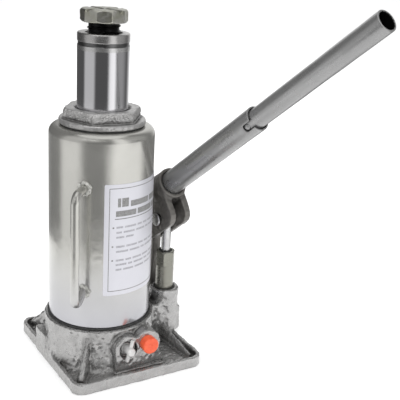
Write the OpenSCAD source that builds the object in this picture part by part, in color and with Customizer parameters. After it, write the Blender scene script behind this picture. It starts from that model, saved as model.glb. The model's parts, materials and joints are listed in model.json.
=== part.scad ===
// Hydraulic bottle jack: cast base with side pump, reservoir tank, ram with an extension
// screw, and a two-piece pump handle. Origin: ram axis on the underside of the base.
// +Z up, +X towards the pump, -Y towards the release valve and the handle.

/* [Base casting] */
// Left edge of the base plate, from the ram axis
base_left = 45.5; // [44:0.5:50]
// Right edge of the base plate, from the ram axis
base_right = 64.5; // [62:0.5:70]
// Half depth of the base plate
base_half_depth = 61; // [58:1:66]
// Height of the rim round the base plate
rim_h = 9; // [8:0.5:11]
// Width of the rim
rim_w = 3; // [2.5:0.5:5]
// Thickness of the plate inside the rim
floor_h = 5; // [4.5:0.5:6]
// Radius of the pedestal that carries the tank
pedestal_r = 43.3; // [43:0.1:45]
// Height of the pedestal
pedestal_h = 37.6; // [36:0.1:40]

/* [Tank and cylinder] */
// Outside radius of the reservoir tank
tank_r = 40; // [40:0.5:41]
// Wall of the reservoir tank
tank_wall = 2.5; // [2:0.1:3]
// Height of the tank's top face
tank_top = 190.2; // [188:0.1:194]
// Radius of the tank's rounded shoulder
shoulder_r = 9; // [7:0.5:10]
// Inside radius of the pressure cylinder
cyl_bore_r = 20; // [20:0.1:21]
// Outside radius of the pressure cylinder
cyl_r = 25; // [24.5:0.1:25.5]

/* [Ram and screw] */
// Radius of the ram
ram_r = 19.25; // [19:0.05:19.5]
// Height of the ram's top at rest
ram_top = 258.2; // [254:0.1:262]
// Length of the ram
ram_l = 192; // [188:1:194]
// Radius of the extension screw
screw_r = 12.2; // [12:0.05:12.3]
// Height of the saddle's underside at rest
saddle_z = 265.5; // [264:0.1:267]
// Thickness of the saddle
saddle_h = 9.4; // [8:0.1:11]
// Radius of the saddle
saddle_r = 17.4; // [16:0.1:18]

/* [Pump and handle] */
// Distance from the ram axis to the pump axis
pump_x = 59.4; // [59:0.1:60]
// Radius of the pump plunger
plunger_r = 3.9; // [3.8:0.05:4]
// Height of the plunger pin at rest
plunger_pin_z = 107.3; // [107:0.1:108]
// Distance from the plunger pin to the socket's pivot
pivot_gap = 20.1; // [20:0.1:20.3]
// Slope of the handle above the horizontal at rest
handle_deg = 38.5; // [37:0.5:40]
// Turn of the pump linkage away from the front, about the pump axis
linkage_turn = 10; // [8:1:12]
// Outside radius of the lower handle tube
lower_r = 9.5; // [9.4:0.1:9.6]
// Outside radius of the upper handle tube
upper_r = 7.5; // [7.3:0.1:7.5]
// Length of the lower tube outside the socket
lower_reach = 114.0; // [110:0.1:120]
// Length of the upper tube outside the lower tube
upper_reach = 125.8; // [120:0.1:130]

/* [Hidden] */
$fn = 96;

// Clearances
run_gap = 0.05;         // shaft in its bore
free_gap = 0.35;        // faces that pass each other on different bodies
eps = 0.01;

// Base
corner_r = 9;
block_face_y = -50;     // front face of the valve block
block_foot_l = -8;
block_foot_r = 35;
valve_x = 2.6;
valve_z = 23.0;
valve_boss_r = 11;
cap_x = 18.4;
cap_z = 26;
cap_r = 6.5;            // leaves room for the handle tube over the release valve
cap_h = 8;
cap_boss_x = 18.8;
cap_boss_z = 24.6;
cap_boss_r = 11.2;
boss_r = 12;            // round boss that holds the pump cylinder
boss_h = 45.9;
foot_half = 11;         // square foot of the boss, in the linkage's frame
foot_front = -9.5;
foot_back = 24.5;
foot_top = 28;
gusset_w = 4;
lug_front = 3.5;
lug_w = 20.5;
lug_top = 20;
cyl_seat_z = 14;        // where the pressure cylinder ends in the base
recess_z = 7;
recess_r = 10;

// Tank top
gasket_t = 1;
tank_bottom = 39.2;
nut_z = tank_top + gasket_t;
nut_flange_r = 32.6;
nut_hex_r = 30.5;       // across corners / 2
nut_turn = -7;          // one corner points this way round the ram axis
nut_top = 203.4;
cyl_top = 197;
tank_hole_r = 26;

// Ram and piston
ram_z = ram_top - ram_l;
piston_r = cyl_bore_r - run_gap;
piston_neck_r = 14;
screw_l = 96;
screw_bore_l = 104;
stop_groove_z = saddle_z - screw_l + 3;

// Pump
pump_bore_r = 9;
pump_body_r = 7.4;
pump_hex_r = 8.3;
pump_bottom = 20;
pump_hex_z = 65.8;
pump_top = 78.4;
valve_ball_r = 2.4;
seat_r = 1.5;
chamber_r = 3.2;
ball_drop = sqrt(valve_ball_r * valve_ball_r - seat_r * seat_r);
suction_seat_z = 10;
delivery_seat_z = 9;
suction_x = 29.6;
suction_y = 10.8;
drill_mouth = [pump_x + 8, -8 * suction_y / (pump_x - suction_x), 6];
delivery_x = 29.6;
delivery_y = -10.8;

// Linkage, in the plane of the handle: t runs up the handle from the pump axis,
// w runs down square to it
pin_w = 21.2;
pin_t = -pin_w * tan(handle_deg);
pivot_t = pin_t - pivot_gap;
handle_z = plunger_pin_z + pin_w / cos(handle_deg);
pivot_y = -pivot_t * cos(handle_deg) - pin_w * sin(handle_deg);
pivot_z = handle_z + pivot_t * sin(handle_deg) - pin_w * cos(handle_deg);
link_foot_y = 18;
link_foot_z = 27;
pin_r = 3;
ear_gap = 4.5;          // half the gap between the ears
ear_w = 5.8;
link_half = 4.1;
link_eye_r = 6;
sleeve_r = 12.8;
sleeve_mouth_t = 7;
sleeve_back_t = -27;
lower_wall = 1.65;
upper_wall = 1.4;
lower_back_t = sleeve_back_t + 3;
lower_end_t = sleeve_mouth_t + lower_reach;
upper_back_t = lower_end_t - 45;
upper_end_t = lower_end_t + upper_reach;
latch_deg = -154;       // where the latch notch sits round the handle
notch_w = 5.6;
notch_l = 8.5;
stud_r = 2.4;
stud_t = lower_end_t - notch_l + stud_r + 0.3;

// Tank fittings
filler_az = 80;
filler_z = 166;
label_low = 66.4;
label_high = 154.3;
label_az = -111;
label_sweep = 106;

// Release valve and plunger
release_ball_y = -30.5 - ball_drop;
release_tip_y = release_ball_y - valve_ball_r;
release_pin_y = -52;
release_pin_deg = 15;
plunger_low = 41;
plunger_eye_r = 6.5;
pin_head_x = 10.9;      // inner face of the pins' heads, from the linkage's plane
pin_half = 12.6;        // clip end of the pins

// Carry handle
carry_az = -132;
carry_reach = 60;
carry_rod_r = 3.2;
carry_bend_r = 7;
carry_low = 70;
carry_high = 150.8;
// height at the tank, side and angle of the bend, for each end
carry_ends = [[carry_low, -1, 110], [carry_high, 1, 90]];

// ---- helpers -------------------------------------------------------------

// A plate with round corners, between two heights
module round_plate(x0, x1, y0, y1, z0, z1, r) {
    translate([x0 + r, y0, z0]) cube([x1 - x0 - 2 * r, y1 - y0, z1 - z0]);
    translate([x0, y0 + r, z0]) cube([x1 - x0, y1 - y0 - 2 * r, z1 - z0]);
    for (x = [x0 + r, x1 - r], y = [y0 + r, y1 - r])
        translate([x, y, z0]) cylinder(r = r, h = z1 - z0);
}

// A ring between two heights
module ring(ro, ri, z0, z1) {
    translate([0, 0, z0]) difference() {
        cylinder(r = ro, h = z1 - z0);
        translate([0, 0, -1]) cylinder(r = ri, h = z1 - z0 + 2);
    }
}

// A rod along Y, from y0 to y1
module rod_y(r, x, z, y0, y1) {
    translate([x, y0, z]) rotate([-90, 0, 0]) cylinder(r = r, h = y1 - y0);
}

// Children drawn in the linkage's frame: Z up the pump axis, X along the linkage's pins
module in_linkage() {
    translate([pump_x, 0, 0]) rotate([0, 0, linkage_turn]) children();
}

// A pin in the linkage's frame, centred on the linkage's plane
module rod_x(r, y, z, half) {
    translate([-half, y, z]) rotate([0, 90, 0]) cylinder(r = r, h = 2 * half);
}

// A drilled passage between two points
module passage(p, q, r = seat_r) {
    d = q - p;
    translate(p) rotate([0, acos(d[2] / norm(d)), atan2(d[1], d[0])]) cylinder(r = r, h = norm(d));
}

// Children drawn in the handle's frame: X across, Y along w, Z along t
module in_handle() {
    in_linkage() translate([0, 0, handle_z]) rotate([90 - handle_deg, 0, 0]) children();
}

// A hexagon with its top corners turned off
module hex_head(r, z0, z1, turn, bevel) {
    intersection() {
        translate([0, 0, z0]) rotate([0, 0, turn]) cylinder(r = r, h = z1 - z0, $fn = 6);
        rotate_extrude() polygon([[0, z0 - 1], [r + 1, z0 - 1], [r + 1, z1 - bevel],
            [r * 0.87, z1], [0, z1]]);
    }
}

// A coil spring as a swept tube of six sides
module coil(cx, cy, r, wire_r, z0, z1, turns) {
    sides = 6;
    steps = turns * 14;
    pts = [for (i = [0:steps], j = [0:sides - 1])
        let (a = 360 * turns * i / steps, b = 360 * j / sides,
             z = z0 + wire_r + (z1 - z0 - 2 * wire_r) * i / steps,
             q = r + wire_r * cos(b))
        [cx + q * cos(a), cy + q * sin(a), z + wire_r * sin(b)]];
    walls = [for (i = [0:steps - 1], j = [0:sides - 1])
        let (k = (j + 1) % sides)
        [i * sides + j, i * sides + k, (i + 1) * sides + k, (i + 1) * sides + j]];
    ends = [[for (j = [sides - 1:-1:0]) j], [for (j = [0:sides - 1]) steps * sides + j]];
    polyhedron(points = pts, faces = concat([for (w = walls) [w[3], w[2], w[1], w[0]]],
        [for (e = ends) [for (n = [len(e) - 1:-1:0]) e[n]]]), convexity = 8);
}

// ---- base ----------------------------------------------------------------

// The diagonal rib from the pedestal out to a corner of the plate
module gusset(az, reach, high) {
    rotate([0, 0, az]) translate([0, gusset_w / 2, 0]) rotate([90, 0, 0]) linear_extrude(gusset_w)
        polygon([[36, 1], [reach, 1], [reach, rim_h - 1], [44, high], [36, high]]);
}

// The outline of the valve block's front face, upright
module block_outline() {
    polygon([[block_foot_l, 1], [block_foot_r, 1], [block_foot_r, 6],
        [cap_boss_x + cap_boss_r - 1, 20], [cap_boss_x, 30], [valve_x, 30], [block_foot_l, valve_z]]);
    translate([valve_x, valve_z]) circle(r = valve_boss_r);
    translate([cap_boss_x, cap_boss_z]) circle(r = cap_boss_r);
}

module base_body() {
    difference() {
        round_plate(-base_left, base_right, -base_half_depth, base_half_depth, 0, rim_h, corner_r);
        round_plate(rim_w - base_left, base_right - rim_w, rim_w - base_half_depth,
            base_half_depth - rim_w, floor_h, rim_h + 1, corner_r - rim_w);
    }
    // the pedestal flares into the plate
    rotate_extrude() polygon([[0, 1], [pedestal_r + 3, 1], [pedestal_r + 3, floor_h + 1],
        [pedestal_r, 22], [pedestal_r, pedestal_h], [0, pedestal_h]]);
    gusset(-126, 68, 31);
    gusset(126, 68, 31);
    gusset(50, 72, 31);
    // low rib from the pump's foot to the front right corner
    translate([56, -54, 0]) rotate([0, 0, 96]) rotate([90, 0, 0]) translate([0, 0, -2])
        linear_extrude(gusset_w) polygon([[0, 1], [44, 1], [44, 20], [0, rim_h - 1]]);
    // lug that runs out to the left edge
    translate([1 - base_left, lug_front, 1]) cube([12, lug_w, lug_top - 1]);
    // valve block
    translate([0, -30, 0]) rotate([90, 0, 0]) linear_extrude(-30 - block_face_y) block_outline();
    // pump boss, its square foot with the cheeks for the link, and the web to the pedestal
    translate([pump_x, 0, 6]) cylinder(r = boss_r, h = boss_h - 6);
    in_linkage() {
        translate([-foot_half, foot_front, 7])
            cube([2 * foot_half, foot_back - foot_front, foot_top - 7]);
        rod_x(link_eye_r + 0.5, link_foot_y, link_foot_z, foot_half);
    }
    translate([30, -11, 1]) cube([30, 22, 35]);
}

module base_casting() {
    color("silver") difference() {
        base_body();
        // seat of the pressure cylinder and the sump below it
        translate([0, 0, cyl_seat_z]) cylinder(r = cyl_r + eps, h = 40);
        translate([0, 0, recess_z]) cylinder(r = recess_r, h = 40);
        // room for the tank above the pedestal
        difference() {
            translate([0, 0, pedestal_h]) cylinder(r = pedestal_r, h = 20);
            translate([pump_x, 0, 0]) cylinder(r = boss_r, h = 60);
        }
        translate([0, 0, pedestal_h]) cylinder(r = tank_r + 2, h = 20);
        // bore for the pump cylinder
        translate([pump_x, 0, pump_bottom]) cylinder(r = pump_bore_r, h = 40);
        // slot and pin hole for the link
        in_linkage() {
            translate([-ear_gap, link_foot_y - 7.5, 17]) cube([2 * ear_gap, 20, 30]);
            rod_x(pin_r, link_foot_y, link_foot_z, 12);
        }
        // suction valve, below the pump
        translate([pump_x, 0, suction_seat_z]) cylinder(r = chamber_r, h = 20);
        passage([pump_x, 0, 6], [pump_x, 0, suction_seat_z + 1]);
        passage(drill_mouth, [suction_x, suction_y, 6]);
        passage([suction_x, suction_y, 6], [suction_x, suction_y, pedestal_h + 1]);
        // delivery valve, under the tank
        translate([delivery_x, delivery_y, delivery_seat_z]) cylinder(r = chamber_r, h = 40);
        passage([pump_x, 0, 17], [38, -7, 17]);
        passage([38, -7, 17], [38, -7, -1]);
        passage([38, -7, 3], [delivery_x, delivery_y, 3]);
        passage([delivery_x, delivery_y, 3], [delivery_x, delivery_y, delivery_seat_z + 1]);
        passage([delivery_x, delivery_y, 12], [4, -1, 12], 1.2);
        // release valve: threaded bore, seat, and the way back to the tank
        rod_y(4.25, valve_x, valve_z, -60, -37.4);
        rod_y(7.5, valve_x, valve_z, -60, block_face_y + 5);
        rod_y(chamber_r, valve_x, valve_z, -40, -30.5);
        rod_y(seat_r, valve_x, valve_z, -31, -28);
        passage([valve_x, -28, valve_z + seat_r], [valve_x, -28, 9]);
        passage([valve_x, -28, 9], [valve_x, 0, 9]);
        passage([valve_x, -34, valve_z], [valve_x, -34, pedestal_h + 1]);
        // overload valve
        rod_y(4, cap_x, cap_z, -60, -35);
        rod_y(1.5, cap_x, cap_z, -36, -27);
        passage([cap_x, -28, cap_z + 1.5], [cap_x, -28, 10]);
        passage([cap_x, -28, 10], [0, -4, 10]);
    }
}

// Plugs that close the drilled passages
module passage_plugs() {
    color("dimgray") {
        translate([38, -7, 0.3]) cylinder(r = seat_r, h = 1.1);
        passage(drill_mouth - [3.4, -1.23, 0], drill_mouth - [5.6, -2.03, 0]);
    }
}

// ---- tank, cylinder and nut ----------------------------------------------

module tank_bottom_gasket() {
    color("black") ring(41.2, 36.8, pedestal_h, tank_bottom);
}

module reservoir_tank() {
    shoulder_z = tank_top - shoulder_r;
    color("lightgray") difference() {
        union() {
            translate([0, 0, tank_bottom]) cylinder(r = tank_r, h = shoulder_z - tank_bottom);
            translate([0, 0, shoulder_z]) tank_dome(shoulder_r);
        }
        translate([0, 0, tank_bottom - 1])
            cylinder(r = tank_r - tank_wall, h = shoulder_z - tank_bottom + 1);
        translate([0, 0, shoulder_z]) tank_dome(shoulder_r - tank_wall);
        // hole for the pressure cylinder
        translate([0, 0, shoulder_z]) cylinder(r = tank_hole_r, h = shoulder_r + 1);
        // filler hole, at the back
        rotate([0, 0, filler_az]) translate([30, 0, filler_z]) rotate([0, 90, 0]) cylinder(r = 4, h = 20);
    }
}

// Disc with a round edge of radius r, centred on the shoulder's arc
module tank_dome(r) {
    rotate_extrude() intersection() {
        square([tank_r, r]);
        union() {
            square([tank_r - shoulder_r, r]);
            translate([tank_r - shoulder_r, 0]) circle(r = r);
        }
    }
}

module filler_plug() {
    color("black") rotate([0, 0, filler_az]) translate([0, 0, filler_z]) rotate([0, 90, 0]) difference() {
        union() {
            translate([0, 0, 35.5]) cylinder(r = 4, h = 6);
            difference() {
                translate([0, 0, 38]) cylinder(r = 6.5, h = 4);
                rotate([0, -90, 0]) translate([0, 0, -20]) cylinder(r = tank_r + eps, h = 40);
            }
        }
        translate([0, 0, 34]) cylinder(r = 2.2, h = 5);
    }
}

module tank_top_gasket() {
    color("black") ring(31.4, tank_hole_r, tank_top, nut_z);
}

module pressure_cylinder() {
    color("gray") ring(cyl_r, cyl_bore_r, cyl_seat_z + 1, cyl_top);
}

module cylinder_seat_gasket() {
    color("peru") ring(cyl_r - 0.2, cyl_bore_r, cyl_seat_z, cyl_seat_z + 1);
}

module tank_nut() {
    color("silver") difference() {
        union() {
            // flange with a rolled edge
            rotate_extrude() polygon([[18, nut_z], [nut_flange_r - 1.2, nut_z],
                [nut_flange_r, nut_z + 1.2], [nut_flange_r, nut_z + 2.6],
                [nut_flange_r - 1.6, nut_z + 4.2], [18, nut_z + 4.6]]);
            hex_head(nut_hex_r, nut_z + 2, nut_top, nut_turn, 1.8);
        }
        translate([0, 0, nut_z - 1]) cylinder(r = cyl_r, h = cyl_top - nut_z + 1.2);
        translate([0, 0, nut_z]) cylinder(r = ram_r + 1.2, h = 30);
    }
}

// Bronze ring that guides the ram in the nut
module ram_guide_ring() {
    color("goldenrod") ring(ram_r + 1.2, ram_r + run_gap, cyl_top + 0.2, nut_top - 3.2);
}

module ram_wiper() {
    color("black") ring(ram_r + 1.2, ram_r + run_gap, nut_top - 3.2, nut_top - 0.8);
}

module tank_label() {
    color("white") translate([0, 0, label_low]) rotate([0, 0, label_az])
        rotate_extrude(angle = label_sweep) translate([tank_r, 0]) square([0.3, label_high - label_low]);
}

// ---- carry handle --------------------------------------------------------

// Where the bend meets the straight leg, and the height of the bend's centre
function bend_x(e) = carry_reach - carry_bend_r * (1 - cos(e[2]));
function bend_z(e) = e[0] - e[1] * (carry_bend_r * sin(e[2]) + (bend_x(e) - tank_r) / tan(e[2]));

// Straight leg from the bend to the tank
module carry_leg(e) {
    translate([carry_reach - carry_bend_r, 0, bend_z(e)]) rotate([90, 0, 0]) rotate([0, 0, e[1] * e[2]])
        translate([carry_bend_r, 0, 0]) rotate([-90 * e[1], 0, 0])
        cylinder(r = carry_rod_r, h = (bend_x(e) - tank_r + 6) / sin(e[2]));
}

module carry_handle() {
    rod_low = bend_z(carry_ends[0]);
    color("lightgray") rotate([0, 0, carry_az]) difference() {
        union() {
            translate([carry_reach, 0, rod_low])
                cylinder(r = carry_rod_r, h = bend_z(carry_ends[1]) - rod_low);
            for (e = carry_ends) {
                translate([carry_reach - carry_bend_r, 0, bend_z(e)]) rotate([90, 0, 0])
                    rotate([0, 0, e[1] < 0 ? -e[2] : 0]) rotate_extrude(angle = e[2])
                    translate([carry_bend_r, 0]) circle(r = carry_rod_r);
                carry_leg(e);
            }
        }
        cylinder(r = tank_r + eps, h = 300);
    }
}

// Weld beads round the feet of the carry handle
module carry_handle_welds() {
    color("gray") rotate([0, 0, carry_az]) for (e = carry_ends) difference() {
        translate([0, 0, e[0]]) rotate([0, 90, 0]) rotate_extrude()
            polygon([[0, tank_r - 2], [carry_rod_r + 3.4, tank_r - 2], [carry_rod_r + 3, tank_r + 0.8],
                [carry_rod_r + 0.2, tank_r + 3], [0, tank_r + 3]]);
        carry_leg(e);
        translate([0, 0, e[0] - 20]) cylinder(r = tank_r + eps, h = 40);
    }
}

// A pin with a flat head on the tank's side
module headed_pin(y, z) {
    translate([-pin_head_x, y, z]) rotate([0, 90, 0]) cylinder(r = pin_r, h = pin_head_x + pin_half);
    translate([-pin_head_x - 1.6, y, z]) rotate([0, 90, 0]) cylinder(r = 5.2, h = 1.6);
}

// A spring clip on the free end of such a pin
module pin_clip(y, z) {
    translate([pin_half - 1.6, y, z]) rotate([0, 90, 0]) ring(4.8, pin_r, 0, 0.9);
}

// ---- pump ----------------------------------------------------------------

module pump_cylinder() {
    color("silver") translate([pump_x, 0, 0]) difference() {
        union() {
            translate([0, 0, pump_bottom]) cylinder(r = pump_bore_r, h = boss_h - 1 - pump_bottom);
            translate([0, 0, pump_bottom]) cylinder(r = pump_body_r, h = pump_hex_z - pump_bottom + 1);
            hex_head(pump_hex_r, pump_hex_z, pump_top, nut_turn, 0.8);
        }
        translate([0, 0, pump_bottom + 2]) cylinder(r = plunger_r + run_gap, h = 80);
        translate([0, 0, pump_bottom - 1]) cylinder(r = seat_r, h = 10);
        translate([0, 0, pump_top - 3]) cylinder(r = plunger_r + 1.6, h = 10);
    }
}

module pump_cylinder_gasket() {
    color("peru") translate([pump_x, 0, 0]) ring(pump_bore_r, pump_body_r, boss_h - 1, boss_h + 0.4);
}

module plunger_wiper() {
    color("black") translate([pump_x, 0, 0])
        ring(plunger_r + 1.6, plunger_r + run_gap, pump_top - 3, pump_top - 0.6);
}

module suction_filter() {
    color("goldenrod") translate([suction_x, suction_y, 0]) ring(3.4, 0.8, pedestal_h, pedestal_h + 1.2);
}

module suction_ball() {
    color("silver") translate([pump_x, 0, suction_seat_z + ball_drop]) sphere(r = valve_ball_r);
}

module delivery_ball() {
    color("silver") translate([delivery_x, delivery_y, delivery_seat_z + ball_drop]) sphere(r = valve_ball_r);
}

module suction_spring() {
    color("gray") coil(pump_x, 0, 1.9, 0.3, suction_seat_z + ball_drop + 1.75, pump_bottom, 4);
}

module delivery_spring() {
    color("gray") coil(delivery_x, delivery_y, 1.9, 0.3, delivery_seat_z + ball_drop + 1.75, 20, 5);
}

module delivery_valve_screw() {
    color("dimgray") translate([delivery_x, delivery_y, 20]) difference() {
        cylinder(r = chamber_r, h = 8);
        translate([0, 0, 4]) cylinder(r = 1.8, h = 6, $fn = 6);
    }
}

module pump_plunger() {
    color("silver") in_linkage() difference() {
        union() {
            translate([0, 0, plunger_low]) cylinder(r = plunger_r, h = plunger_pin_z - plunger_low - 3);
            rod_x(plunger_eye_r, 0, plunger_pin_z, link_half);
        }
        rod_x(pin_r, 0, plunger_pin_z, 20);
        translate([0, 0, plunger_low + 2]) ring(plunger_r + 1, plunger_r - 1.2, 0, 3);
    }
}

module plunger_seal() {
    color("ivory") translate([pump_x, 0, 0])
        ring(plunger_r + 0.02, plunger_r - 1.2, plunger_low + 2, plunger_low + 5);
}

module plunger_pin() {
    color("gray") in_linkage() headed_pin(0, plunger_pin_z);
}

module plunger_pin_clip() {
    color("dimgray") in_linkage() pin_clip(0, plunger_pin_z);
}

module link_pin_clip() {
    color("dimgray") in_linkage() pin_clip(pivot_y, pivot_z);
}

// ---- overload valve ------------------------------------------------------

module overload_ball() {
    color("silver") translate([cap_x, -35 - ball_drop, cap_z]) sphere(r = valve_ball_r);
}

module overload_spring() {
    color("gray") translate([cap_x, -35 - ball_drop, cap_z]) rotate([90, 0, 0])
        coil(0, 0, 1.9, 0.4, 1.9, 7, 4);
}

module overload_screw() {
    color("dimgray") translate([cap_x, -35 - ball_drop - 7, cap_z]) rotate([90, 0, 0]) difference() {
        cylinder(r = 3.95, h = 3);
        translate([0, 0, 1]) cylinder(r = 2, h = 6, $fn = 6);
    }
}

module overload_cap() {
    color("orangered") translate([cap_x, block_face_y, cap_z]) rotate([90, 0, 0]) {
        rotate_extrude() polygon([[0, 0], [cap_r, 0], [cap_r, cap_h - 1.5], [cap_r - 0.4, cap_h - 0.5],
            [cap_r - 1.4, cap_h], [0, cap_h]]);
        translate([0, 0, -3]) difference() {
            cylinder(r = 3.9, h = 3.1);
            translate([0, 0, -1]) cylinder(r = 3, h = 3);
        }
    }
}

// ---- release valve -------------------------------------------------------

module release_ball() {
    color("silver") translate([valve_x, release_ball_y, valve_z]) sphere(r = valve_ball_r);
}

module release_valve() {
    color("gray") difference() {
        union() {
            rod_y(2, valve_x, valve_z, release_tip_y - 3, release_tip_y);
            rod_y(4.2, valve_x, valve_z, -46, release_tip_y - 3);
            rod_y(3.4, valve_x, valve_z, -56, -45.9);
        }
        translate([valve_x, release_pin_y, valve_z]) rotate([0, release_pin_deg, 0])
            translate([0, 0, -10]) cylinder(r = 1.6, h = 20);
        // groove for the ring seal
        translate([valve_x, -43.8, valve_z]) rotate([-90, 0, 0]) difference() {
            cylinder(r = 5, h = 2.2);
            translate([0, 0, -1]) cylinder(r = 3, h = 5);
        }
    }
}

module release_o_ring() {
    color("black") translate([valve_x, -43.8, valve_z]) rotate([-90, 0, 0]) rotate_extrude()
        translate([3.6, 1.1]) circle(r = 0.6);
}

module release_cross_pin() {
    color("silver") translate([valve_x, release_pin_y, valve_z]) rotate([0, release_pin_deg, 0])
        translate([0, 0, -9]) cylinder(r = 1.6, h = 18);
}

// ---- ram and extension screw ---------------------------------------------

module ram() {
    color("gainsboro") difference() {
        union() {
            translate([0, 0, ram_z]) cylinder(r = piston_neck_r, h = 20);
            translate([0, 0, ram_z + 16]) cylinder(r = ram_r, h = ram_l - 16);
        }
        // groove below the top edge
        translate([0, 0, ram_top - 9]) ring(ram_r + 1, ram_r - 0.6, 0, 2.8);
        translate([0, 0, ram_top - screw_bore_l]) cylinder(r = screw_r + run_gap, h = screw_bore_l + 1);
        translate([0, 0, ram_top - 3.5]) cylinder(r = 13.7, h = 5);
        translate([0, 0, ram_z + 1.2]) ring(piston_neck_r + 1, piston_neck_r - 1, 0, 1.4);
    }
}

module ram_backup_ring() {
    color("dimgray") ring(piston_r, piston_neck_r, ram_z + 11, ram_z + 16);
}

module ram_cup_seal() {
    color("black") difference() {
        ring(piston_r, piston_neck_r, ram_z + 2.6, ram_z + 11);
        translate([0, 0, ram_z + 2]) ring(piston_r - 1.6, piston_neck_r + 1.6, 0, 5);
    }
}

module ram_snap_ring() {
    color("gray") ring(piston_neck_r + 1.4, piston_neck_r - 1, ram_z + 1.2, ram_z + 2.6);
}

module screw_stop_ring() {
    color("gray") ring(screw_r, screw_r - 1.9 + run_gap, stop_groove_z + run_gap, stop_groove_z + 2);
}

module extension_screw() {
    color("black") difference() {
        union() {
            translate([0, 0, saddle_z - screw_l]) cylinder(r = screw_r, h = screw_l);
            translate([0, 0, saddle_z - 1]) cylinder(r = 8, h = 5);
        }
        translate([0, 0, stop_groove_z]) ring(screw_r + 1, screw_r - 1.9, 0, 2.05);
    }
}

module saddle() {
    color("darkgray") difference() {
        hex_saddle();
        translate([0, 0, saddle_z - 1]) cylinder(r = 8, h = 5);
        // crossed grooves that grip the load
        for (a = [20, 110]) rotate([0, 0, a]) translate([0, 0, saddle_z + saddle_h]) rotate([0, 90, 0])
            translate([0, 0, -30]) cylinder(r = 2.2, h = 60, $fn = 4);
    }
}

// Ten-sided block with its rims turned off
module hex_saddle() {
    intersection() {
        translate([0, 0, saddle_z]) rotate([0, 0, -95]) cylinder(r = saddle_r, h = saddle_h, $fn = 10);
        rotate_extrude() polygon([[0, saddle_z], [saddle_r - 1.4, saddle_z], [saddle_r + 0.2, saddle_z + 1.8],
            [saddle_r + 0.2, saddle_z + saddle_h - 1.6], [saddle_r - 1.2, saddle_z + saddle_h],
            [0, saddle_z + saddle_h]]);
    }
}

// ---- linkage and handle --------------------------------------------------

module pump_link() {
    span = [0, pivot_y - link_foot_y, pivot_z - link_foot_z];
    color("dimgray") in_linkage() difference() {
        union() {
            rod_x(link_eye_r, link_foot_y, link_foot_z, link_half);
            rod_x(link_eye_r, pivot_y, pivot_z, link_half);
            translate([-link_half, link_foot_y, link_foot_z]) rotate([atan2(-span[1], span[2]), 0, 0])
                translate([0, -4.5, 0]) cube([2 * link_half, 9, norm(span)]);
        }
        rod_x(pin_r + run_gap, link_foot_y, link_foot_z, 20);
        rod_x(pin_r, pivot_y, pivot_z, 20);
    }
}

module link_base_pin() {
    color("gray") in_linkage() rod_x(pin_r, link_foot_y, link_foot_z, foot_half + 1);
}

module link_top_pin() {
    color("gray") in_linkage() headed_pin(pivot_y, pivot_z);
}

// The side view of an ear, in t and w
module ear_outline() {
    hull() {
        translate([-7, pin_w + 0.5]) circle(r = 9.8, $fn = 32);
        translate([pivot_t - 1, pin_w + 0.5]) circle(r = 9.8, $fn = 32);
        translate([sleeve_back_t + 6, 2]) circle(r = 6, $fn = 32);
        translate([-0.5, 4]) circle(r = 4, $fn = 32);
    }
}

module handle_socket() {
    color("dimgray") in_handle() difference() {
        union() {
            translate([0, 0, sleeve_back_t]) cylinder(r = sleeve_r, h = sleeve_mouth_t - sleeve_back_t);
            for (side = [-ear_gap - ear_w, ear_gap])
                translate([side, 0, 0]) rotate([0, -90, 180]) linear_extrude(ear_w) ear_outline();
        }
        translate([0, 0, sleeve_back_t + 3]) cylinder(r = lower_r + free_gap - 0.1, h = 60);
        translate([-20, -pin_w, pivot_t]) rotate([0, 90, 0]) cylinder(r = pin_r + run_gap, h = 40);
        // slotted hole for the plunger pin
        for (t = [pin_t - 0.4, pin_t + 1.8]) translate([-20, -pin_w, t]) rotate([0, 90, 0])
            cylinder(r = pin_r + 1, h = 40);
        translate([-20, -pin_w - pin_r - 1, pin_t - 0.4]) cube([40, 2 * pin_r + 2, 2.2]);
    }
}

module lower_handle_tube() {
    color("gray") in_handle() difference() {
        ring(lower_r, lower_r - lower_wall, lower_back_t + 0.2, lower_end_t);
        // notch for the latch stud at the outer end
        rotate([0, 0, latch_deg]) translate([0, -notch_w / 2, lower_end_t - notch_l]) cube([20, notch_w, 20]);
        // notches that fit over the release valve's cross pin
        translate([-20, -2, lower_back_t - 1]) cube([40, 4, 9]);
    }
}

module upper_handle_tube() {
    color("gray") in_handle() difference() {
        ring(upper_r, upper_r - upper_wall, upper_back_t, upper_end_t);
        latch_stud();
    }
}

// Stud through the wall of the upper tube
module latch_stud() {
    rotate([0, 0, latch_deg]) translate([upper_r - upper_wall - 0.6, 0, stud_t])
        rotate([0, 90, 0]) cylinder(r = stud_r, h = upper_wall + 2.4);
}

module handle_latch_stud() {
    color("gray") in_handle() latch_stud();
}

// ---- assembly ------------------------------------------------------------

base_casting();
tank_bottom_gasket();
reservoir_tank();
tank_top_gasket();
pressure_cylinder();
cylinder_seat_gasket();
tank_nut();
ram_wiper();
ram_guide_ring();
carry_handle();
carry_handle_welds();
tank_label();
filler_plug();
suction_filter();
pump_cylinder();
pump_cylinder_gasket();
plunger_wiper();
suction_spring();
delivery_spring();
delivery_valve_screw();
passage_plugs();
overload_ball();
overload_spring();
overload_screw();
link_base_pin();
suction_ball();
delivery_ball();
ram();
ram_backup_ring();
ram_cup_seal();
ram_snap_ring();
screw_stop_ring();
extension_screw();
saddle();
pump_link();
link_top_pin();
handle_socket();
pump_plunger();
plunger_seal();
plunger_pin();
plunger_pin_clip();
link_pin_clip();
lower_handle_tube();
upper_handle_tube();
handle_latch_stud();
release_ball();
release_valve();
release_cross_pin();
release_o_ring();
overload_cap();
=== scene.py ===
import json
import math
import bpy
import numpy as np
from mathutils import Matrix, Vector


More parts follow.
